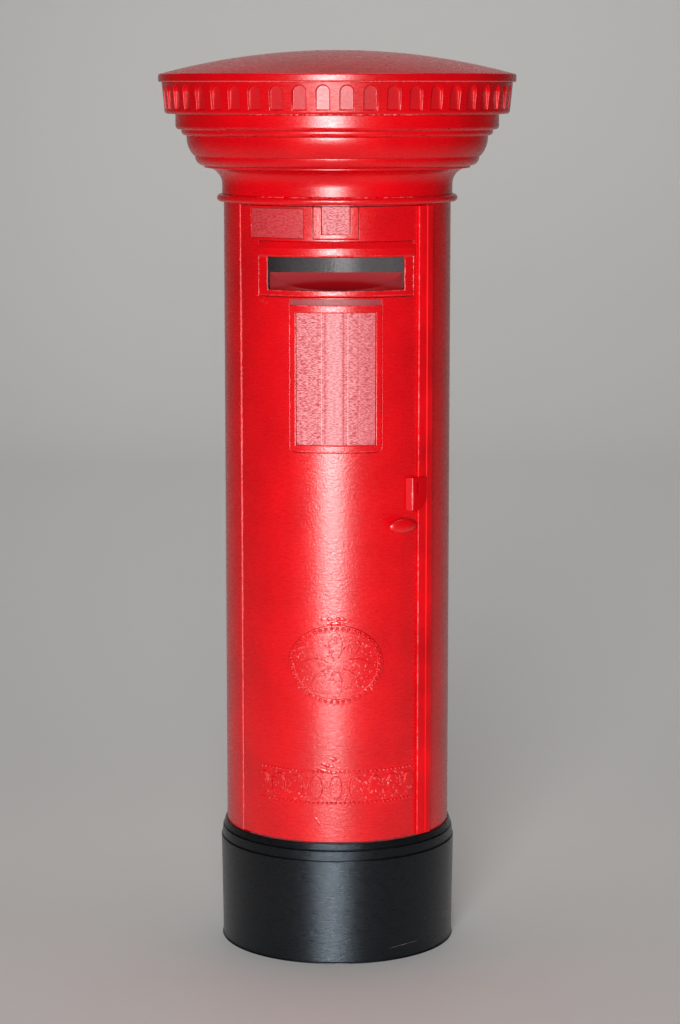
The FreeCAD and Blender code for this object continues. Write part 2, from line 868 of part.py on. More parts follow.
def make_door_pull():
    stem = front_rod(pull_stem_radius, body_bore, body_radius + pull_stem + pull_half_depth, 0, 0)
    ball = Part.makeSphere(1)
    stretch = FreeCAD.Matrix()
    stretch.scale(pull_half_length, pull_half_depth, pull_half_height)
    knob = ball.transformGeometry(stretch)
    knob.translate(FreeCAD.Vector(0, -(body_radius + pull_stem + pull_half_depth / 2), 0))
    pull = stem.fuse(knob)
    pull = pull.cut(Part.makeCylinder(body_radius + glue_gap, far, FreeCAD.Vector(0, 0, -body_radius)))
    hole_end = body_radius + pull_screw_bite
    pull = pull.cut(front_rod(pull_screw_radius, body_bore, hole_end, 0, 0))
    pull.translate(FreeCAD.Vector(0, 0, pull_z))
    pull.rotate(origin, up, pull_angle)
    return pull


def make_pull_screw():
    seat = door_bore - glue_gap
    shank = front_rod(pull_screw_radius, seat, body_radius + pull_screw_bite, pull_angle, pull_z)
    head = front_rod(pull_screw_head_radius, seat - pull_screw_head, seat, pull_angle, pull_z)
    slot = screw_slot(seat - pull_screw_head, pull_angle, pull_z)
    return shank.fuse(head.cut(slot)).removeSplitter()


pieces = {
    "plinth": make_plinth,
    "base_screws": make_base_screws,
    "body_shell": make_body_shell,
    "floor_plate": make_floor_plate,
    "cornice": make_cornice,
    "cap_lid": make_cap_lid,
    "door": make_door,
    "hinge_pins": make_hinge_pins,
    "hinge_washer": make_hinge_washer,
    "closing_strip": make_closing_strip,
    "aperture_frame": make_aperture_frame,
    "letter_chute": make_letter_chute,
    "collection_plate": make_collection_plate,
    "tablet_holder": make_tablet_holder,
    "tablet": make_tablet,
    "notice_frame": make_notice_frame,
    "notice_panel": make_notice_panel,
    "keyhole_plate": make_keyhole_plate,
    "lock_case": make_lock_case,
    "lock_bolt": make_lock_bolt,
    "lock_screws": make_lock_screws,
    "lock_keeper": make_lock_keeper,
    "door_pull": make_door_pull,
    "pull_screw": make_pull_screw,
}

os.makedirs("parts", exist_ok=True)
for name, make in pieces.items():
    shape = make()
    shape.exportStep("parts/" + name + ".step")
    print(name, len(shape.Solids), "solid(s)", round(shape.Volume, 1), "mm3", shape.isValid())
axis = on_front(pin_angle, pin_circle, 0)
print("door axis", round(axis.x, 4), round(axis.y, 4), "top", round(cap_seat + lip_height + dome_rise, 3))
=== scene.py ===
import json
import math
import bmesh
import bpy
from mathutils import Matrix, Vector
from mathutils.bvhtree import BVHTree
from mathutils.interpolate import poly_3d_calc


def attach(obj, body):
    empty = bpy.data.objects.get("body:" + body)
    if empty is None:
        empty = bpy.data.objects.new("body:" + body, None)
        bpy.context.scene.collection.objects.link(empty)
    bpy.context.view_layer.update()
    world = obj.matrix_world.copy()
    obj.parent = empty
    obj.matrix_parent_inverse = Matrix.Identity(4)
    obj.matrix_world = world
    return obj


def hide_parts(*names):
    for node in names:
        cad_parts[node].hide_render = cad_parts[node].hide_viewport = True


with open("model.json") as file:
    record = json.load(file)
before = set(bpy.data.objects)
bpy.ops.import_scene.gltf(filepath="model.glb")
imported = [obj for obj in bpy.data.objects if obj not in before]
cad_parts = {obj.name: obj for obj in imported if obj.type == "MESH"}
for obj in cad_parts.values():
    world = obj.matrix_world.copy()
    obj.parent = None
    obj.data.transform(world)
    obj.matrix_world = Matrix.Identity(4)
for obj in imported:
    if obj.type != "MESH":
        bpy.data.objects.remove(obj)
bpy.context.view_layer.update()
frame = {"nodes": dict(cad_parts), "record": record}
nodeBody = {node: body for body, nodes in frame["record"]["behaviour"]["bodies"].items() for node in nodes}
print("frame loaded:", len(frame["nodes"]), "nodes")

mm = 0.001
bodyRadius = 50.0  # mm


def onFront(angle, height, radius):
    # angle from the front towards the right, height and radius in mm
    turn = math.radians(angle)
    return Vector((radius * math.sin(turn), -radius * math.cos(turn), height)) * mm


def addPiece(name, data):
    piece = bpy.data.objects.new(name, data)
    bpy.context.scene.collection.objects.link(piece)
    return piece


def bakeModifiers(piece):
    bpy.context.view_layer.update()
    graph = bpy.context.evaluated_depsgraph_get()
    mesh = bpy.data.meshes.new_from_object(piece.evaluated_get(graph), depsgraph=graph)
    piece.modifiers.clear()
    piece.data = mesh


# node helpers shared by every finish and every geometry tree
def newFinish(name):
    finish = bpy.data.materials.new(name)
    finish.use_nodes = True
    finish.node_tree.nodes.clear()
    return finish, finish.node_tree


def addNode(tree, kind, settings=None, **inputs):
    # an input is named by its label, or by its number as i0, i1 and so on
    node = tree.nodes.new(kind)
    for key, value in (settings or {}).items():
        setattr(node, key, value)
    for key, value in inputs.items():
        socket = node.inputs[int(key[1:])] if key[0] == "i" and key[1:].isdigit() else node.inputs[key]
        if isinstance(value, bpy.types.NodeSocket):
            tree.links.new(value, socket)
        else:
            socket.default_value = value
    return node


def calc(tree, operation, a, b=0.0, c=0.0):
    return addNode(tree, "ShaderNodeMath", {"operation": operation}, i0=a, i1=b, i2=c).outputs[0]


def mixColour(tree, factor, a, b):
    return addNode(tree, "ShaderNodeMix", {"data_type": "RGBA"}, i0=factor, i6=a, i7=b).outputs[2]


def ramp(tree, value, low, high, toLow=0.0, toHigh=1.0):
    levels = {"i1": low, "i2": high, "i3": toLow, "i4": toHigh}
    return addNode(tree, "ShaderNodeMapRange", {"clamp": True}, i0=value, **levels).outputs[0]


def noise(tree, place, scale, detail=2.0):
    return addNode(tree, "ShaderNodeTexNoise", None, Vector=place, Scale=scale, Detail=detail).outputs[0]


def stretchedNoise(tree, place, scales, detail=2.0):
    stretch = addNode(tree, "ShaderNodeMapping", None, Vector=place, Scale=scales)
    return noise(tree, stretch.outputs[0], 1.0, detail)


def mask(tree, name):
    return addNode(tree, "ShaderNodeAttribute", {"attribute_name": name}).outputs["Fac"]


def objectPlace(tree):
    return addNode(tree, "ShaderNodeTexCoord").outputs["Object"]


def splitPlace(tree, place):
    return addNode(tree, "ShaderNodeSeparateXYZ", None, Vector=place).outputs


def wallAngle(tree, x, y):
    # from the front towards the right, in radians
    return calc(tree, "ARCTAN2", x, calc(tree, "MULTIPLY", y, -1.0))


def wallRadius(tree, x, y):
    level = addNode(tree, "ShaderNodeCombineXYZ", None, X=x, Y=y).outputs[0]
    return addNode(tree, "ShaderNodeVectorMath", {"operation": "LENGTH"}, i0=level).outputs["Value"]


def colour(red, green, blue):
    # written as the eye sees it, 0 to 255
    def linear(level):
        level = level / 255
        return level / 12.92 if level <= 0.04045 else ((level + 0.055) / 1.055) ** 2.4
    return (linear(red), linear(green), linear(blue), 1.0)


noiseSpan = (0.3, 0.7)  # where most of a noise lies
darkerSpan = (0.35, 0.7)  # the same, with a little more of the first colour

# fine printed layers: bands along the height, uneven from line to line
layerLook = {
    "pitch": 0.32 * mm, "wave": 0.14,
    "streak": 0.8, "streakScales": (320.0, 320.0, 1500.0), "streakDetail": 3.0,
    "smoothFrom": 332 * mm, "smoothTo": 345 * mm, "smooth": 0.3,
}


def layerHeight(tree, place):
    z = splitPlace(tree, place)[2]
    wave = calc(tree, "SINE", calc(tree, "MULTIPLY", z, 2 * math.pi / layerLook["pitch"]))
    streak = stretchedNoise(tree, place, layerLook["streakScales"], layerLook["streakDetail"])
    height = calc(tree, "MULTIPLY", streak, layerLook["streak"])
    height = calc(tree, "MULTIPLY_ADD", wave, layerLook["wave"], height)
    # the head was rubbed smoother than the column
    keep = ramp(tree, z, layerLook["smoothFrom"], layerLook["smoothTo"], 1.0, layerLook["smooth"])
    return calc(tree, "MULTIPLY", height, keep), streak


def closeFinish(tree, base, rough, heights, specular):
    # heights: pairs of a height field and its depth, laid one over the other
    normal = None
    for height, depth in heights:
        bump = addNode(tree, "ShaderNodeBump", None, Strength=1.0, Distance=depth, Height=height)
        if normal:
            tree.links.new(normal, bump.inputs["Normal"])
        normal = bump.outputs[0]
    shader = addNode(tree, "ShaderNodeBsdfPrincipled")
    shader.inputs["Specular IOR Level"].default_value = specular
    for value, label in ((base, "Base Color"), (rough, "Roughness"), (normal, "Normal")):
        if isinstance(value, bpy.types.NodeSocket):
            tree.links.new(value, shader.inputs[label])
        elif value is not None:
            shader.inputs[label].default_value = value
    addNode(tree, "ShaderNodeOutputMaterial", None, Surface=shader.outputs[0])
    return shader


# the red paints: peel is the grain left by the brush, as a scale, with its depth in mm
mainRed = (226, 2, 16)
redLook = {
    "brushed": {"red": mainRed, "peel": 1150.0, "depth": 0.1, "rough": (0.24, 0.32), "specular": 0.84},
    "smooth": {"red": mainRed, "peel": 800.0, "depth": 0.04, "rough": (0.24, 0.32), "specular": 0.54},
    # satin: a brighter red than the main one, painted light on the closing strip, which turns away from the
    # lamp
    "satinLit": {"red": (252, 4, 20), "peel": 900.0, "depth": 0.06, "rough": (0.42, 0.5), "specular": 0.3},
    "thick": {"red": mainRed, "peel": 900.0, "depth": 0.08, "rough": (0.24, 0.32), "specular": 0.8},
    "glossy": {"red": mainRed, "peel": 800.0, "depth": 0.03, "rough": (0.22, 0.28), "specular": 0.9},
    # crusted: a pale red on the ornament's lumps, a painted highlight on thick paint
    "crustedHighlight": {"red": (234, 66, 72), "peel": 800.0, "depth": 0.03, "rough": (0.26, 0.34), "specular": 0.9},
    # worn: a pale red on the edge lines, partly worn paint and partly a painted highlight
    "wornHighlight": {"red": (240, 100, 103), "peel": 1500.0, "depth": 0.03, "rough": (0.28, 0.36), "specular": 0.8},
    # dull: a darker red as painted shade, so the keyhole plate's slope that faces the lamp reads less bright
    "dullShade": {"red": (204, 2, 14), "peel": 800.0, "depth": 0.08, "rough": (0.5, 0.6), "specular": 0.12},
}
coatLook = {
    "deepRed": colour(208, 0, 13),
    # thinAndShadedRed: thin paint on the recess floors, taken darker as painted shade where they lie under
    # sills
    "thinAndShadedRed": colour(152, 40, 46),
    "thinRough": 0.25,
    "bare": colour(160, 151, 153),
    "cloudScale": 45.0,
    "cloudDetail": 4.0,
    "layerDepth": 0.045 * mm,
}


def makeRedPaint(kind):
    look = redLook[kind]
    finish, tree = newFinish(kind + " red paint")
    place = objectPlace(tree)
    cloud = noise(tree, place, coatLook["cloudScale"], coatLook["cloudDetail"])
    layers, streak = layerHeight(tree, place)
    thin, bare = mask(tree, "thin"), mask(tree, "bare")
    base = mixColour(tree, ramp(tree, cloud, *darkerSpan), colour(*look["red"]), coatLook["deepRed"])
    base = mixColour(tree, thin, base, coatLook["thinAndShadedRed"])
    base = mixColour(tree, bare, base, coatLook["bare"])
    rough = ramp(tree, streak, *noiseSpan, *look["rough"])
    rough = calc(tree, "MULTIPLY_ADD", thin, coatLook["thinRough"], rough)
    peel = noise(tree, place, look["peel"])
    heights = [(layers, coatLook["layerDepth"]), (peel, look["depth"] * mm)]
    closeFinish(tree, base, rough, heights, look["specular"])
    return finish


# thin paint on the flat inserts, with a painted highlight and painted shade across the notice panel: places
# along the wall are arcs from the front towards the right
panelLook = {
    "radius": 49.3 * mm, "noticeHead": 289.7 * mm,
    "dark": colour(182, 28, 40), "pale": colour(238, 152, 157),
    "pitch": 1.3 * mm, "zigzag": 0.9 * mm, "waverScale": 300.0, "waver": 1.6, "stroke": 0.1,
    "mottleScales": (750.0, 750.0, 2100.0), "mottle": 2.9, "mottleLevel": -0.92,
    "plateEdge": -13 * mm, "plateTint": colour(196, 24, 34), "plateCover": 0.8,
    # middle: a painted highlight along the notice panel; right: painted shade towards its right
    "middleRise": (-4.2 * mm, -2.8 * mm), "middleFall": (1.5 * mm, 2.7 * mm),
    "middleHighlightTint": colour(250, 204, 207), "middleHighlightCover": 0.16,
    "right": (5 * mm, 16 * mm), "rightShadeTint": colour(198, 84, 92), "rightShadeCover": 0.45,
    "lines": ((-7.7, 0.2), (-4.7, 0.35), (3.3, 0.6), (9.6, 0.25)),  # offset and width in mm
    "lineTint": colour(186, 36, 46), "lineRise": -0.6,
    "ridges": ((-6.2, 0.25), (5.2, 0.25)), "ridgeTint": colour(250, 196, 198), "ridgeRise": 1.0,
    "lineCover": 0.8, "roughness": 0.5, "specular": 0.45, "layerDepth": 0.085 * mm,
}


def makePanelPaint():
    look = panelLook
    finish, tree = newFinish("thin paint on the panels")
    place = objectPlace(tree)
    x, y, z = splitPlace(tree, place)
    arc = calc(tree, "MULTIPLY", wallAngle(tree, x, y), look["radius"])
    # the print's fill shows through as short strokes that lean left and right by turns
    zigzag = calc(tree, "DIVIDE", calc(tree, "PINGPONG", arc, look["zigzag"]), look["zigzag"])
    phase = calc(tree, "ADD", calc(tree, "DIVIDE", z, look["pitch"]), zigzag)
    phase = calc(tree, "MULTIPLY_ADD", noise(tree, place, look["waverScale"]), look["waver"], phase)
    stroke = calc(tree, "SINE", calc(tree, "MULTIPLY", phase, 2 * math.pi))
    mottle = stretchedNoise(tree, place, look["mottleScales"])
    shade = calc(tree, "MULTIPLY_ADD", mottle, look["mottle"], look["mottleLevel"])
    shade = calc(tree, "MULTIPLY_ADD", stroke, look["stroke"], shade)
    base = mixColour(tree, ramp(tree, shade, 0.0, 1.0), look["dark"], look["pale"])
    # the plate on the left is taken darker and redder
    upper = calc(tree, "GREATER_THAN", z, look["noticeHead"])
    plate = calc(tree, "MULTIPLY", calc(tree, "LESS_THAN", arc, look["plateEdge"]), upper)
    base = mixColour(tree, calc(tree, "MULTIPLY", plate, look["plateCover"]), base, look["plateTint"])
    # the notice panel: a painted highlight pale along the middle, painted shade darker towards the right,
    # thin lines between
    lower = calc(tree, "LESS_THAN", z, look["noticeHead"])
    rise = ramp(tree, arc, *look["middleRise"])
    fall = ramp(tree, arc, *look["middleFall"], 1.0, 0.0)
    middle = calc(tree, "MULTIPLY", calc(tree, "MULTIPLY", rise, fall), look["middleHighlightCover"])
    base = mixColour(tree, calc(tree, "MULTIPLY", middle, lower), base, look["middleHighlightTint"])
    dullShade = ramp(tree, arc, *look["right"], 0.0, look["rightShadeCover"])
    base = mixColour(tree, calc(tree, "MULTIPLY", dullShade, lower), base, look["rightShadeTint"])
    height = shade
    for lines, tint, lineRise in (
        (look["lines"], look["lineTint"], look["lineRise"]),
        (look["ridges"], look["ridgeTint"], look["ridgeRise"]),
    ):
        for offset, width in lines:
            gap = calc(tree, "ABSOLUTE", calc(tree, "SUBTRACT", arc, offset * mm))
            line = calc(tree, "MULTIPLY", ramp(tree, gap, 0.0, width * mm, look["lineCover"], 0.0), lower)
            base = mixColour(tree, line, base, tint)
            height = calc(tree, "MULTIPLY_ADD", line, lineRise, height)
    closeFinish(tree, base, look["roughness"], [(height, look["layerDepth"])], look["specular"])
    return finish


rampLook = {
    "rose": colour(164, 44, 49), "red": colour(158, 2, 12),
    "foot": 296.2 * mm, "rise": 3.2 * mm, "reach": 29 * mm, "ragged": 1.2 * mm, "fade": (0.2 * mm, 1.6 * mm),
    "apron": 46.3 * mm, "apronShade": 0.74, "roughness": 0.55, "specular": 0.35, "layerDepth": 0.05 * mm,
}


def makeRampPaint():
    # the brush reached the foot of the ramp best in the middle
    finish, tree = newFinish("dull paint on the ramp")
    place = objectPlace(tree)
    x, y, z = splitPlace(tree, place)
    layers, streak = layerHeight(tree, place)
    across = calc(tree, "DIVIDE", x, rampLook["reach"])
    arch = calc(tree, "SUBTRACT", 1.0, calc(tree, "MULTIPLY", across, across))
    line = calc(tree, "MULTIPLY_ADD", arch, rampLook["rise"], rampLook["foot"])
    above = calc(tree, "MULTIPLY_ADD", streak, rampLook["ragged"], calc(tree, "SUBTRACT", z, line))
    base = mixColour(tree, ramp(tree, above, *rampLook["fade"]), rampLook["red"], rampLook["rose"])
    # the round front of the ramp faces the light, so its paint is taken darker to match
    apron = calc(tree, "GREATER_THAN", wallRadius(tree, x, y), rampLook["apron"])
    shade = ramp(tree, apron, 0.0, 1.0, 1.0, rampLook["apronShade"])
    base = addNode(tree, "ShaderNodeVectorMath", {"operation": "SCALE"}, i0=base, Scale=shade).outputs[0]
    closeFinish(tree, base, rampLook["roughness"], [(layers, rampLook["layerDepth"])], rampLook["specular"])
    return finish


blackLook = {
    "black": colour(5, 4, 4),
    "grey": colour(13, 12, 12),
    "roughness": (0.26, 0.34),
    "specular": 0.6,
    "sheen": (0.72, 0.86, 1.0, 1.0),
    "layerDepth": 0.12 * mm,
}


def makeBlackPrint():
    finish, tree = newFinish("black printed plastic")
    layers, streak = layerHeight(tree, objectPlace(tree))
    base = mixColour(tree, ramp(tree, streak, *darkerSpan), blackLook["black"], blackLook["grey"])
    rough = ramp(tree, streak, *noiseSpan, *blackLook["roughness"])
    shader = closeFinish(tree, base, rough, [(layers, blackLook["layerDepth"])], blackLook["specular"])
    shader.inputs["Specular Tint"].default_value = blackLook["sheen"]
    return finish


metalLook = {"grainScale": 2500.0, "grainDetail": 3.0, "roughSpread": 0.08, "darkShare": 0.8, "specular": 0.5}


def makeMetal(name, tint, roughness):
    finish, tree = newFinish(name)
    grain = noise(tree, objectPlace(tree), metalLook["grainScale"], metalLook["grainDetail"])
    spread = metalLook["roughSpread"]
    rough = ramp(tree, grain, *noiseSpan, roughness - spread, roughness + spread)
    dark = tuple(metalLook["darkShare"] * level for level in tint[:3]) + (1.0,)
    base = mixColour(tree, ramp(tree, grain, *noiseSpan), tint, dark)
    shader = closeFinish(tree, base, rough, [], metalLook["specular"])
    shader.inputs["Metallic"].default_value = 1.0
    return finish


scuffLook = {
    "dark": colour(88, 78, 72), "pale": colour(150, 138, 128), "grainScale": 900.0,
    "roughness": 0.6, "specular": 0.3,
}


def makeScuff():
    finish, tree = newFinish("pale scuff")
    grain = noise(tree, objectPlace(tree), scuffLook["grainScale"])
    base = mixColour(tree, grain, scuffLook["dark"], scuffLook["pale"])
    closeFinish(tree, base, scuffLook["roughness"], [], scuffLook["specular"])
    return finish


redPaint = makeRedPaint("brushed")
headPaint = makeRedPaint("smooth")
satinLitPaint = makeRedPaint("satinLit")
thickPaint = makeRedPaint("thick")
wetPaint = makeRedPaint("glossy")
crustHighlightPaint = makeRedPaint("crustedHighlight")
wornHighlightPaint = makeRedPaint("wornHighlight")
dullShadePaint = makeRedPaint("dullShade")
panelPaint = makePanelPaint()
rampPaint = makeRampPaint()
blackPrint = makeBlackPrint()
steelFinish = makeMetal("plain steel", colour(190, 190, 192), 0.35)
darkSteel = makeMetal("dark steel", colour(66, 64, 65), 0.5)
brassFinish = makeMetal("plain brass", colour(205, 170, 96), 0.35)
scuffFinish = makeScuff()
print("finishes made:", len(bpy.data.materials))

# edges of the painted print are soft: a merged copy with narrow rounds stands for each sharp solid
softLook = {
    "rounds": {
        "body_shell": (0.12, redPaint), "cornice": (0.35, headPaint), "cap_lid": (0.4, headPaint),
        "door": (0.18, redPaint), "closing_strip": (0.4, satinLitPaint), "aperture_frame": (0.4, thickPaint),
        "tablet_holder": (0.35, thickPaint), "notice_frame": (0.35, thickPaint),
        "keyhole_plate": (0.4, dullShadePaint), "plinth": (0.4, blackPrint),
        "collection_plate": (0.2, panelPaint), "letter_chute": (0.3, rampPaint),
    },  # widths in mm
    "segments": 2,
    "mergeWithin": 2e-6,  # m
    "flatWithin": 0.4,  # degrees, as the next two
    "sharp": 32.0,
    "bend": 50.0,
    "share": 0.42,  # of the room beside an edge
    "ahead": 0.35,  # a point further ahead than aside by this slope isn't beside the edge
    "inset": 0.03,  # of the way to a face's centre, where its shading is read
    "astray": 0.75,  # a normal that leans away more than this isn't used
}
# where the paint is thin or missing, with painted shade on the recess floors: radii in m, and how far a face
# has to look outwards
skinLook = {
    "bareNodes": ("body_shell", "door", "aperture_frame"), "bareRadius": 47.2 * mm,
    "inward": -0.5, "downward": -0.7,
    "doorBand": (48.5 * mm, 49.4 * mm), "doorFacing": 0.8, "doorThin": 1.0,
    "nicheBand": (74.5 * mm, 75.1 * mm), "nicheFacing": 0.98, "nicheThin": 0.28,
}
plainNodes = {
    "door_pull": thickPaint, "tablet": panelPaint, "notice_panel": panelPaint,
    "floor_plate": blackPrint, "lock_case": blackPrint, "lock_keeper": blackPrint,
    "base_screws": steelFinish, "hinge_pins": darkSteel, "hinge_washer": darkSteel,
    "lock_screws": steelFinish, "pull_screw": steelFinish, "lock_bolt": brassFinish,
}


def edgeRoom(edge, sharpPoints):
    # distance across the neighbouring faces to the next sharp edge
    start, end = edge.verts[0].co, edge.verts[1].co
    middle, along = (start + end) / 2, (end - start).normalized()
    half = (end - start).length / 2
    room = 1.0  # m, more than any edge has
    for face in edge.link_faces:
        for point in face.verts:
            if point in edge.verts or point not in sharpPoints:
                continue
            reach = point.co - middle
            forward = abs(reach.dot(along))
            sideways = (reach - along * reach.dot(along)).length
            if sideways > softLook["ahead"] * max(forward - half, 0.0):
                room = min(room, sideways)
    return room


def chainEdges(sharpEdges):
    # edges that run smoothly into one another
    left, chains = set(sharpEdges), []
    bend = math.radians(softLook["bend"])
    while left:
        chain, queue = [], [left.pop()]
        while queue:
            edge = queue.pop()
            chain.append(edge)
            for point in edge.verts:
                back = edge.other_vert(point).co - point.co
                for other in point.link_edges:
                    if other in left and back.angle(point.co - other.other_vert(point).co) < bend:
                        left.discard(other)
                        queue.append(other)
        chains.append(chain)
    return chains


def weighEdges(work, width):
    # one width along a whole chain, or the rounds would cross
    layer = work.edges.layers.float.new("bevel_weight_edge")
    limit = math.radians(softLook["sharp"])
    sharpEdges = [edge for edge in work.edges if len(edge.link_faces) == 2 and edge.calc_face_angle() > limit]
    sharpPoints = {point for edge in sharpEdges for point in edge.verts}
    for chain in chainEdges(sharpEdges):
        room = min(edgeRoom(edge, sharpPoints) for edge in chain)
        for edge in chain:
            edge[layer] = min(1.0, softLook["share"] * room / width)


def keepNormals(source, mesh):
    # the solid's own shading on its faces, carried smoothly over the rounds (material index 1)
    source.calc_loop_triangles()
    corners = [Vector(entry.vector) for entry in source.corner_normals]
    points = [vertex.co.copy() for vertex in source.vertices]
    triangles = [(tuple(triangle.vertices), tuple(triangle.loops)) for triangle in source.loop_triangles]
    tree = BVHTree.FromPolygons(points, [ends for ends, loops in triangles])
    normals = [None] * len(mesh.loops)
    shared = {}
    for face in mesh.polygons:
        if face.material_index:
            continue
        for corner in face.loop_indices:
            vertex = mesh.loops[corner].vertex_index
            nearest = tree.find_nearest(mesh.vertices[vertex].co.lerp(face.center, softLook["inset"]))
            place, index = nearest[0], nearest[2]
            ends, loops = triangles[index]
            weights = poly_3d_calc([points[end] for end in ends], place)
            parts = (corners[loop] * weight for loop, weight in zip(loops, weights))
            normal = sum(parts, Vector()).normalized()
            if normal.dot(face.normal) < softLook["astray"]:
                normal = face.normal.copy()
            normals[corner] = normal
            shared.setdefault(vertex, []).append(normal)
    for face in mesh.polygons:
        if not face.material_index:
            continue
        for corner in face.loop_indices:
            vertex = mesh.loops[corner].vertex_index
            if vertex in shared:
                normals[corner] = sum(shared[vertex], Vector()).normalized()
            else:
                normals[corner] = mesh.vertices[vertex].normal.copy()
        face.material_index = 0
    mesh.normals_split_custom_set(normals)


def markSkin(nodeName, mesh):
    # bare print on the inner faces, thin paint darkened as painted shade on the floors of the recesses
    bare = mesh.attributes.new("bare", "FLOAT", "FACE")
    thin = mesh.attributes.new("thin", "FLOAT", "FACE")
    doorLow, doorHigh = skinLook["doorBand"]
    nicheLow, nicheHigh = skinLook["nicheBand"]
    for face in mesh.polygons:
        centre = Vector((face.center.x, face.center.y, 0))
        radius = centre.length
        facing = face.normal.dot(centre.normalized()) if radius > 0 else 0.0
        inside = radius < skinLook["bareRadius"] or facing < skinLook["inward"]
        if nodeName in skinLook["bareNodes"] and inside:
            bare.data[face.index].value = 1.0
        elif nodeName == "cap_lid" and face.normal.z < skinLook["downward"]:
            bare.data[face.index].value = 1.0
        elif nodeName == "door" and doorLow < radius < doorHigh and facing > skinLook["doorFacing"]:
            thin.data[face.index].value = skinLook["doorThin"]
        elif nodeName == "cornice" and nicheLow < radius < nicheHigh and facing > skinLook["nicheFacing"]:
            thin.data[face.index].value = skinLook["nicheThin"]


def softCopy(nodeName, width, finish):
    source = frame["nodes"][nodeName].data
    mesh = bpy.data.meshes.new(nodeName + "_soft")
    work = bmesh.new()
    work.from_mesh(source)
    flat = math.radians(softLook["flatWithin"])
    bmesh.ops.remove_doubles(work, verts=work.verts, dist=softLook["mergeWithin"])
    bmesh.ops.dissolve_limit(work, angle_limit=flat, verts=work.verts, edges=work.edges)
    weighEdges(work, width * mm)
    for face in work.faces:
        face.smooth = True
        face.material_index = 0
    for edge in work.edges:
        edge.smooth = True
    work.to_mesh(mesh)
    work.free()
    # a second slot marks the rounds until their shading is set
    mesh.materials.append(finish)
    mesh.materials.append(finish)
    piece = addPiece(nodeName + "_soft", mesh)
    bevel = piece.modifiers.new("soft edges", "BEVEL")
    bevel.limit_method = "WEIGHT"
    bevel.width = width * mm
    bevel.segments = softLook["segments"]
    bevel.material = 1
    bevel.use_clamp_overlap = False
    bevel.loop_slide = False
    bakeModifiers(piece)
    keepNormals(source, piece.data)
    piece.data.materials.pop(index=1)
    markSkin(nodeName, piece.data)
    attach(piece, nodeBody[nodeName])
    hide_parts(nodeName)
    return piece


softPieces = {}
for nodeName, (width, finish) in softLook["rounds"].items():
    softPieces[nodeName] = softCopy(nodeName, width, finish)
    print("soft edges:", nodeName, len(softPieces[nodeName].data.polygons), "faces")
for nodeName, finish in plainNodes.items():
    mesh = frame["nodes"][nodeName].data
    mesh.materials.clear()
    mesh.materials.append(finish)
print("solids dressed")


# geometry trees: each takes a mesh of lines or faces and grows one plain mesh from it
def newTree(name, sockets):
    tree = bpy.data.node_groups.new(name, "GeometryNodeTree")
    tree.interface.new_socket("Geometry", in_out="INPUT", socket_type="NodeSocketGeometry")
    for label, kind in sockets.items():
        tree.interface.new_socket(label, in_out="INPUT", socket_type="NodeSocket" + kind)
    tree.interface.new_socket("Geometry", in_out="OUTPUT", socket_type="NodeSocketGeometry")
    return tree, tree.nodes.new("NodeGroupInput").outputs


def closeTree(tree, geometry, finish):
    solid = addNode(tree, "GeometryNodeRealizeInstances", None, i0=geometry).outputs[0]
    smooth = addNode(tree, "GeometryNodeSetShadeSmooth", None, i0=solid).outputs[0]
    painted = addNode(tree, "GeometryNodeSetMaterial", None, Geometry=smooth, Material=finish).outputs[0]
    addNode(tree, "NodeGroupOutput", None, i0=painted)


def spacedLine(tree, lines, length):
    curve = addNode(tree, "GeometryNodeMeshToCurve", None, Mesh=lines).outputs[0]
    spaced = addNode(tree, "GeometryNodeResampleCurve", {"mode": "LENGTH"}, Curve=curve, Length=length)
    return spaced.outputs[0]


def unevenSize(tree, entry):
    sizes = {"i2": entry["Smallest"], "i3": entry["Largest"], "Seed": entry["Seed"]}
    return addNode(tree, "FunctionNodeRandomValue", {"data_type": "FLOAT"}, **sizes).outputs[1]


def smallBall(tree):
    return addNode(tree, "GeometryNodeMeshUVSphere", None, Segments=8, Rings=5, Radius=1.0).outputs[0]


def scaled(tree, geometry, x=1.0, y=1.0, z=1.0):
    shape = addNode(tree, "ShaderNodeCombineXYZ", None, X=x, Y=y, Z=z).outputs[0]
    return addNode(tree, "GeometryNodeTransform", None, Geometry=geometry, Scale=shape).outputs[0]


def beadTree():
    tree, entry = newTree("beads along a line", {
        "Spacing": "Float", "Smallest": "Float", "Largest": "Float", "Seed": "Int", "Finish": "Material",
    })
    spots = spacedLine(tree, entry["Geometry"], entry["Spacing"])
    size = unevenSize(tree, entry)
    ball = smallBall(tree)
    grown = addNode(tree, "GeometryNodeInstanceOnPoints", None, Points=spots, Instance=ball, Scale=size)
    closeTree(tree, grown.outputs[0], entry["Finish"])
    return tree


outerWall = 49.8 * mm  # what lies further in is no part of the outer wall


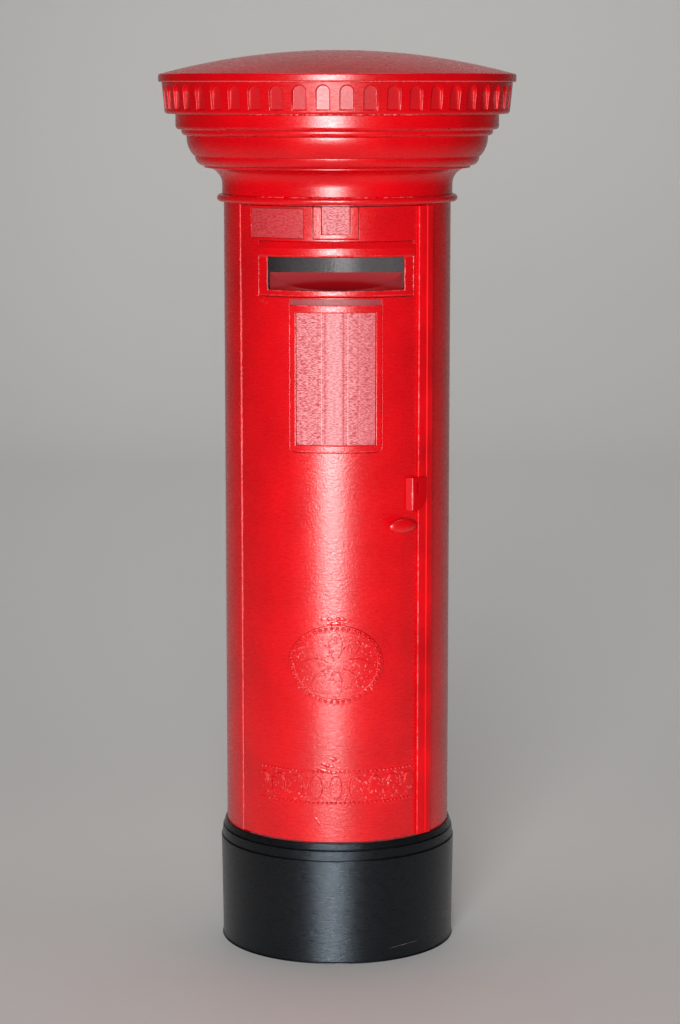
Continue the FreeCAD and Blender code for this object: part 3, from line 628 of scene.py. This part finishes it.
def speckTree():
    # kept only on the outer wall, within a field given by its middle height, half sizes and corner power
    tree, entry = newTree("specks on a surface", {
        "Density": "Float", "Smallest": "Float", "Largest": "Float", "Flatness": "Float",
        "Seed": "Int", "Finish": "Material",
        "Height": "Float", "Half Width": "Float", "Half Height": "Float", "Corner": "Float",
    })
    spots = addNode(tree, "GeometryNodeDistributePointsOnFaces", None, Mesh=entry["Geometry"],
                    Density=entry["Density"], Seed=entry["Seed"]).outputs
    x, y, z = splitPlace(tree, addNode(tree, "GeometryNodeInputPosition").outputs[0])
    across = calc(tree, "MULTIPLY", wallAngle(tree, x, y), bodyRadius * mm)
    across = calc(tree, "ABSOLUTE", calc(tree, "DIVIDE", across, entry["Half Width"]))
    rise = calc(tree, "SUBTRACT", z, entry["Height"])
    rise = calc(tree, "ABSOLUTE", calc(tree, "DIVIDE", rise, entry["Half Height"]))
    across = calc(tree, "POWER", across, entry["Corner"])
    rise = calc(tree, "POWER", rise, entry["Corner"])
    outside = calc(tree, "GREATER_THAN", calc(tree, "ADD", across, rise), 1.0)
    inner = calc(tree, "LESS_THAN", wallRadius(tree, x, y), outerWall)
    dropped = calc(tree, "MAXIMUM", outside, inner)
    kept = addNode(tree, "GeometryNodeDeleteGeometry", {"domain": "POINT"}, Geometry=spots["Points"],
                   Selection=dropped).outputs[0]
    size = unevenSize(tree, entry)
    speck = scaled(tree, smallBall(tree), z=entry["Flatness"])
    grown = addNode(tree, "GeometryNodeInstanceOnPoints", None, Points=kept, Instance=speck,
                    Rotation=spots["Rotation"], Scale=size)
    closeTree(tree, grown.outputs[0], entry["Finish"])
    return tree


ridgeLook = {"sides": 8, "tip": 0.05, "lumpScale": 600.0, "lumpSpan": (0.4, 0.64), "lumpReach": (-1.0, 0.6)}


def ridgeTree():
    tree, entry = newTree("tapered ridges along lines", {
        "Thickness": "Float", "Flatness": "Float", "Step": "Float", "Taper": "Float", "Lumps": "Float",
        "Finish": "Material",
    })
    spaced = spacedLine(tree, entry["Geometry"], entry["Step"])
    level = addNode(tree, "GeometryNodeSetCurveNormal", {"mode": "Z_UP"}, Curve=spaced).outputs[0]
    along = addNode(tree, "GeometryNodeSplineParameter").outputs["Factor"]
    swell = calc(tree, "SINE", calc(tree, "MULTIPLY", along, math.pi))
    swell = calc(tree, "POWER", calc(tree, "MAXIMUM", swell, ridgeLook["tip"]), entry["Taper"])
    lump = noise(tree, addNode(tree, "GeometryNodeInputPosition").outputs[0], ridgeLook["lumpScale"])
    lump = ramp(tree, lump, *ridgeLook["lumpSpan"], *ridgeLook["lumpReach"])
    swell = calc(tree, "MULTIPLY", swell, calc(tree, "MULTIPLY_ADD", lump, entry["Lumps"], 1.0))
    thick = calc(tree, "MULTIPLY", swell, entry["Thickness"])
    ring = addNode(tree, "GeometryNodeCurvePrimitiveCircle", None, Resolution=ridgeLook["sides"], Radius=1.0)
    ring = scaled(tree, ring.outputs[0], x=entry["Flatness"])
    tube = addNode(tree, "GeometryNodeCurveToMesh", None, i0=level, i1=ring, Scale=thick)
    tube.inputs["Fill Caps"].default_value = True
    closeTree(tree, tube.outputs[0], entry["Finish"])
    return tree


def lineMesh(name, lines):
    # each line is a list of (angle, height, radius)
    points, edges = [], []
    for line in lines:
        for index, spot in enumerate(line):
            if index:
                edges.append((len(points) - 1, len(points)))
            points.append(onFront(*spot))
    mesh = bpy.data.meshes.new(name)
    mesh.from_pydata(points, edges, [])
    return mesh


def patchMesh(name, patches, radius, step=4):
    # each patch is (left, right, foot, head) on the round wall, cut into facets of about step degrees
    points, faces = [], []
    for left, right, foot, head in patches:
        count = max(1, int(abs(right - left) / step))
        first = len(points)
        for index in range(count + 1):
            angle = left + (right - left) * index / count
            points += [onFront(angle, foot, radius), onFront(angle, head, radius)]
        for index in range(count):
            a = first + 2 * index
            faces.append((a, a + 2, a + 3, a + 1))
    mesh = bpy.data.meshes.new(name)
    mesh.from_pydata(points, [], faces)
    return mesh


def growPiece(name, mesh, tree, values, body):
    labels = {item.name: item.identifier for item in tree.interface.items_tree if item.in_out == "INPUT"}
    piece = addPiece(name, mesh)
    modifier = piece.modifiers.new("grow", "NODES")
    modifier.node_group = tree
    for label, value in values.items():
        modifier[labels[label]] = value
    bakeModifiers(piece)
    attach(piece, body)
    print("grown:", name, len(piece.data.polygons), "faces")


beads, specks, ridges = beadTree(), speckTree(), ridgeTree()


def bow(left, right, height, radius, steps=24):
    # a level line round the wall
    return [(left + (right - left) * (index / steps), height, radius) for index in range(steps + 1)]


def upright(angle, foot, head, radius):
    return [(angle, foot, radius), (angle, head, radius)]


# pearl border of the rosette and pearl rows of the frieze
rosetteLook = {
    "height": 133.8, "halfWidth": 19.3, "halfHeight": 16.3, "radius": 50.75,
    "pearls": 46, "steps": 4, "size": 0.82 * mm, "uneven": 1.05, "seed": 3,
}
friezeLook = {
    "height": 79.2, "reach": 40.5, "rowGap": 7.0, "radius": 50.05,
    "spacing": 1.95 * mm, "steps": 60, "size": 0.62 * mm, "uneven": 1.1, "seed": 4,
}


def growPearls(name, lines, spacing, look):
    growPiece(name, lineMesh(name, lines), beads, {
        "Spacing": spacing, "Smallest": look["size"], "Largest": look["size"] * look["uneven"],
        "Seed": look["seed"], "Finish": redPaint,
    }, "door")


def makePearls():
    ring = []
    steps = rosetteLook["pearls"] * rosetteLook["steps"]
    for index in range(steps + 1):
        turn = 2 * math.pi * index / steps
        angle = math.degrees(rosetteLook["halfWidth"] * math.cos(turn) / bodyRadius)
        height = rosetteLook["height"] + rosetteLook["halfHeight"] * math.sin(turn)
        ring.append((angle, height, rosetteLook["radius"]))
    around = sum((onFront(*a) - onFront(*b)).length for a, b in zip(ring, ring[1:]))
    growPearls("rosette_pearls", [ring], around / rosetteLook["pearls"], rosetteLook)
    rows = []
    for side in (-1, 1):
        height = friezeLook["height"] + side * friezeLook["rowGap"]
        reach = friezeLook["reach"]
        rows.append(bow(-reach, reach, height, friezeLook["radius"], friezeLook["steps"]))
    growPearls("frieze_pearls", rows, friezeLook["spacing"], friezeLook)


makePearls()

# lumpy lines of paint that dried along the edges, tinted pale, partly as worn paint and partly as a painted
# highlight
edgeLook = [
    {"name": "door_edge_paint", "body": "door", "thickness": 0.25 * mm, "lumps": 0.9, "lines": [
        upright(-41.3, 293.6, 314.5, 50.3), upright(41.3, 293.6, 314.5, 50.3),
        upright(36.0, 295.6, 310.0, 50.3), upright(-36.0, 295.6, 310.0, 50.3),
        bow(-36, 36, 295.7, 50.3), bow(-26, 24, 310.9, 51.0),
        upright(44.4, 56.0, 198.5, 51.15), upright(44.4, 217.0, 330.0, 51.15),
        bow(-21, 21, 289.6, 50.2), bow(-19, 19, 227.0, 50.2), bow(-12, 12, 286.8, 50.25),
    ]},
    {"name": "door_faint_paint", "body": "door", "thickness": 0.16 * mm, "lumps": 0.9, "lines": [
        upright(-55.2, 150.0, 306.0, 49.98), bow(-34, 34, 293.9, 50.3),
        upright(-23.2, 228.0, 288.5, 50.2), upright(-20.0, 230.0, 286.5, 50.2),
    ]},
    {"name": "box_edge_paint", "body": "box", "thickness": 0.27 * mm, "lumps": 1.0, "lines": [
        bow(-38, 44, 384.1, 77.85, 40), bow(-30, 30, 370.5, 74.9, 40), bow(-40, 40, 335.4, 51.9, 40),
    ]},
    {"name": "keyhole_edge_paint", "body": "door", "thickness": 0.5 * mm, "lumps": 0.3, "lines": [
        upright(39.2, 200.4, 214.4, 52.4),
    ]},
]
edgeShape = {"Flatness": 1.0, "Step": 0.35 * mm, "Taper": 0.2, "Finish": wornHighlightPaint}


def makeEdgeLines():
    for look in edgeLook:
        mesh = lineMesh(look["name"], look["lines"])
        values = {**edgeShape, "Thickness": look["thickness"], "Lumps": look["lumps"]}
        growPiece(look["name"], mesh, ridges, values, look["body"])


makeEdgeLines()

# small specks under the paint, clear of the frames and the ornament
speckLook = {
    "door": [
        (-54, -43, 56, 330), (-43, -25, 95, 290), (-25, 25, 156, 225), (25, 43, 95, 185), (25, 43, 222, 290),
        (-40, 40, 56, 70), (-43, 43, 90, 112), (22, 43, 112, 150), (-43, -22, 112, 150), (14, 43, 319, 330),
    ],
    "box": [(58, 302, 56, 331)],
}
speckShape = {
    "Density": 7000.0, "Smallest": 0.08 * mm, "Largest": 0.3 * mm, "Flatness": 0.55,
    "Seed": 21, "Finish": redPaint,
    "Height": 0.2, "Half Width": 1.0, "Half Height": 1.0, "Corner": 2.0,  # a field wider than the box
}


def makeSpecks():
    for body, patches in speckLook.items():
        name = body + "_specks"
        growPiece(name, patchMesh(name, patches, bodyRadius), specks, speckShape, body)


makeSpecks()

# the ornament is crusted with thick paint, its lumps tinted paler as a painted highlight
crustLook = [
    {"name": "rosette_crust", "height": rosetteLook["height"], "halfWidth": 20.4, "halfHeight": 17.4,
     "corner": 2.0, "seed": 31},
    {"name": "frieze_crust", "height": friezeLook["height"], "halfWidth": 35.5, "halfHeight": 6.4,
     "corner": 8.0, "seed": 32},
]
crustShape = {
    "Density": 280000.0, "Smallest": 0.2 * mm, "Largest": 0.75 * mm, "Flatness": 0.34, "Finish": crustHighlightPaint,
}


def makeCrust():
    for look in crustLook:
        growPiece(look["name"], softPieces["door"].data.copy(), specks, {
            **crustShape, "Seed": look["seed"], "Corner": look["corner"], "Height": look["height"] * mm,
            "Half Width": look["halfWidth"] * mm, "Half Height": look["halfHeight"] * mm,
        }, "door")


makeCrust()

# wrinkles where thick paint slid down over the ornament: lines of (angle, height) whose ends sink in deeper
wrinkleLook = {
    "lines": [
        [(-11.4, 153.5), (-5.0, 154.0), (1.1, 154.1), (6.0, 153.6), (10.6, 153.1)],
        [(-7.9, 152.3), (-2.0, 151.9), (4.5, 152.2), (9.1, 154.9)],
        [(-12.0, 90.4), (-9.5, 88.0), (-7.0, 87.0), (-1.4, 85.6), (3.0, 86.4), (6.1, 87.5)],
        [(-5.4, 92.9), (-1.5, 91.9), (2.1, 91.6)],
        [(-9.0, 90.6), (-4.0, 88.9), (0.5, 88.3)],
        [(-11.6, 66.6), (-9.3, 64.0), (-7.5, 61.9)],
        [(-43.0, 292.6), (-39.0, 291.3), (-34.5, 289.8)],
    ],
    "radius": 49.9,
    "endRadius": 49.85,
}
wrinkleShape = {
    "Thickness": 1.15 * mm, "Flatness": 0.36, "Step": 0.4 * mm, "Taper": 1.0, "Lumps": 0.4,
    "Finish": wetPaint,
}


def makeWrinkles():
    lines = []
    for spots in wrinkleLook["lines"]:
        line = [(angle, height, wrinkleLook["radius"]) for angle, height in spots]
        for end in (0, -1):
            line[end] = (*spots[end], wrinkleLook["endRadius"])
        lines.append(line)
    growPiece("paint_wrinkles", lineMesh("paint_wrinkles", lines), ridges, wrinkleShape, "door")


makeWrinkles()

# a hair-thin scuff low on the plinth, and the flared first layer that it stands on
plinthLook = {
    "scuff": [
        (25.1, 5.4, 52.07), (30.0, 5.9, 52.08), (34.7, 6.2, 52.1), (41.0, 6.4, 52.1), (47.7, 6.4, 52.1),
    ],
    "foot": [(51.6, 0.0), (52.3, 0.02), (52.42, 0.12), (52.38, 0.3), (52.1, 0.62), (51.6, 0.8)],
    "steps": 160,
}
scuffShape = {
    "Thickness": 0.09 * mm, "Flatness": 1.0, "Step": 0.5 * mm, "Taper": 0.6, "Lumps": 0.3,
    "Finish": scuffFinish,
}
scuffMesh = lineMesh("plinth_scuff", [plinthLook["scuff"]])
growPiece("plinth_scuff", scuffMesh, ridges, scuffShape, "box")


def makeFootRim():
    work = bmesh.new()
    rings = []
    for index in range(plinthLook["steps"]):
        angle = 360 * index / plinthLook["steps"]
        spots = [onFront(angle, height, radius) for radius, height in plinthLook["foot"]]
        rings.append([work.verts.new(spot) for spot in spots])
    count = len(plinthLook["foot"])
    for index, ring in enumerate(rings):
        after = rings[(index + 1) % len(rings)]
        for step in range(count):
            upper = (step + 1) % count
            work.faces.new((ring[step], after[step], after[upper], ring[upper]))
    bmesh.ops.recalc_face_normals(work, faces=work.faces)
    for face in work.faces:
        face.smooth = True
    mesh = bpy.data.meshes.new("plinth_foot_rim")
    work.to_mesh(mesh)
    work.free()
    mesh.materials.append(blackPrint)
    rim = addPiece("plinth_foot_rim", mesh)
    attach(rim, "box")


makeFootRim()
print("details added")

# pale sweep under and behind the object, in m
floorLook = {
    "tint": colour(236, 234, 231), "roughness": 0.6, "specular": 0.3,
    "front": 0.9, "back": 1.6, "side": 2.6, "bend": 0.7, "height": 2.5, "steps": 16,
}


def makeFloor():
    back, bend, side = floorLook["back"], floorLook["bend"], floorLook["side"]
    line = [(-floorLook["front"], 0.0), (back, 0.0)]
    for index in range(1, floorLook["steps"] + 1):
        turn = math.pi / 2 * index / floorLook["steps"]
        line.append((back + bend * math.sin(turn), bend * (1 - math.cos(turn))))
    line.append((line[-1][0], floorLook["height"]))
    points = [(x, y, z) for y, z in line for x in (-side, side)]
    faces = [(2 * i, 2 * i + 1, 2 * i + 3, 2 * i + 2) for i in range(len(line) - 1)]
    mesh = bpy.data.meshes.new("floor")
    mesh.from_pydata(points, [], faces)
    for face in mesh.polygons:
        face.use_smooth = True
    finish, tree = newFinish("pale floor")
    closeFinish(tree, floorLook["tint"], floorLook["roughness"], [], floorLook["specular"])
    mesh.materials.append(finish)
    addPiece("floor", mesh)


makeFloor()

# camera: where the photograph was taken from, image taken as 680 x 1024
cameraLook = {
    "distance": 1.25, "height": 0.3811,  # m
    "side": 0.75, "aimRight": 0.055, "pitch": 8.537,  # degrees
    "lens": 99.12, "sensor": 36.0,  # mm on the film
    "clipStart": 0.01,
}


def makeCamera():
    data = bpy.data.cameras.new("camera")
    data.sensor_width = cameraLook["sensor"]
    data.lens = cameraLook["lens"]
    data.clip_start = cameraLook["clipStart"]
    camera = addPiece("camera", data)
    turn = math.radians(cameraLook["side"])
    reach = cameraLook["distance"]
    camera.location = (reach * math.sin(turn), -reach * math.cos(turn), cameraLook["height"])
    aim = math.radians(cameraLook["side"] - cameraLook["aimRight"])
    camera.rotation_euler = (math.radians(90 - cameraLook["pitch"]), 0, aim)
    bpy.context.scene.camera = camera


makeCamera()

# soft studio light, the main box beside the camera: places and sizes in m, spread in degrees
lampLook = [
    {"name": "front softbox", "place": (-0.12, -1.44, 0.37), "aim": (0, 0, 0.2), "size": (0.5, 0.4),
     "power": 2.1, "spread": 50},
    {"name": "top softbox", "place": (0, 0.3, 1.5), "aim": (0, 0.3, 0), "size": (1.0, 1.0),
     "power": 2.4, "spread": 110},
    {"name": "back softbox", "place": (0, 0.9, 1.9), "aim": (0, 2.2, 0.4), "size": (1.4, 0.5),
     "power": 6.5, "spread": 120},
]
worldLook = {"tint": (1.0, 1.0, 1.0, 1.0), "strength": 0.03}


def makeLamps():
    for look in lampLook:
        data = bpy.data.lights.new(look["name"], "AREA")
        data.shape = "RECTANGLE"
        data.size, data.size_y = look["size"]
        data.energy = look["power"]
        data.spread = math.radians(look["spread"])
        lamp = addPiece(look["name"], data)
        lamp.location = look["place"]
        aim = Vector(look["aim"]) - Vector(look["place"])
        lamp.rotation_euler = aim.to_track_quat("-Z", "Y").to_euler()
    world = bpy.data.worlds.new("studio")
    world.use_nodes = True
    background = world.node_tree.nodes["Background"]
    background.inputs["Color"].default_value = worldLook["tint"]
    background.inputs["Strength"].default_value = worldLook["strength"]
    bpy.context.scene.world = world


makeLamps()
bpy.context.scene.view_settings.view_transform = "Standard"
print("stage set")
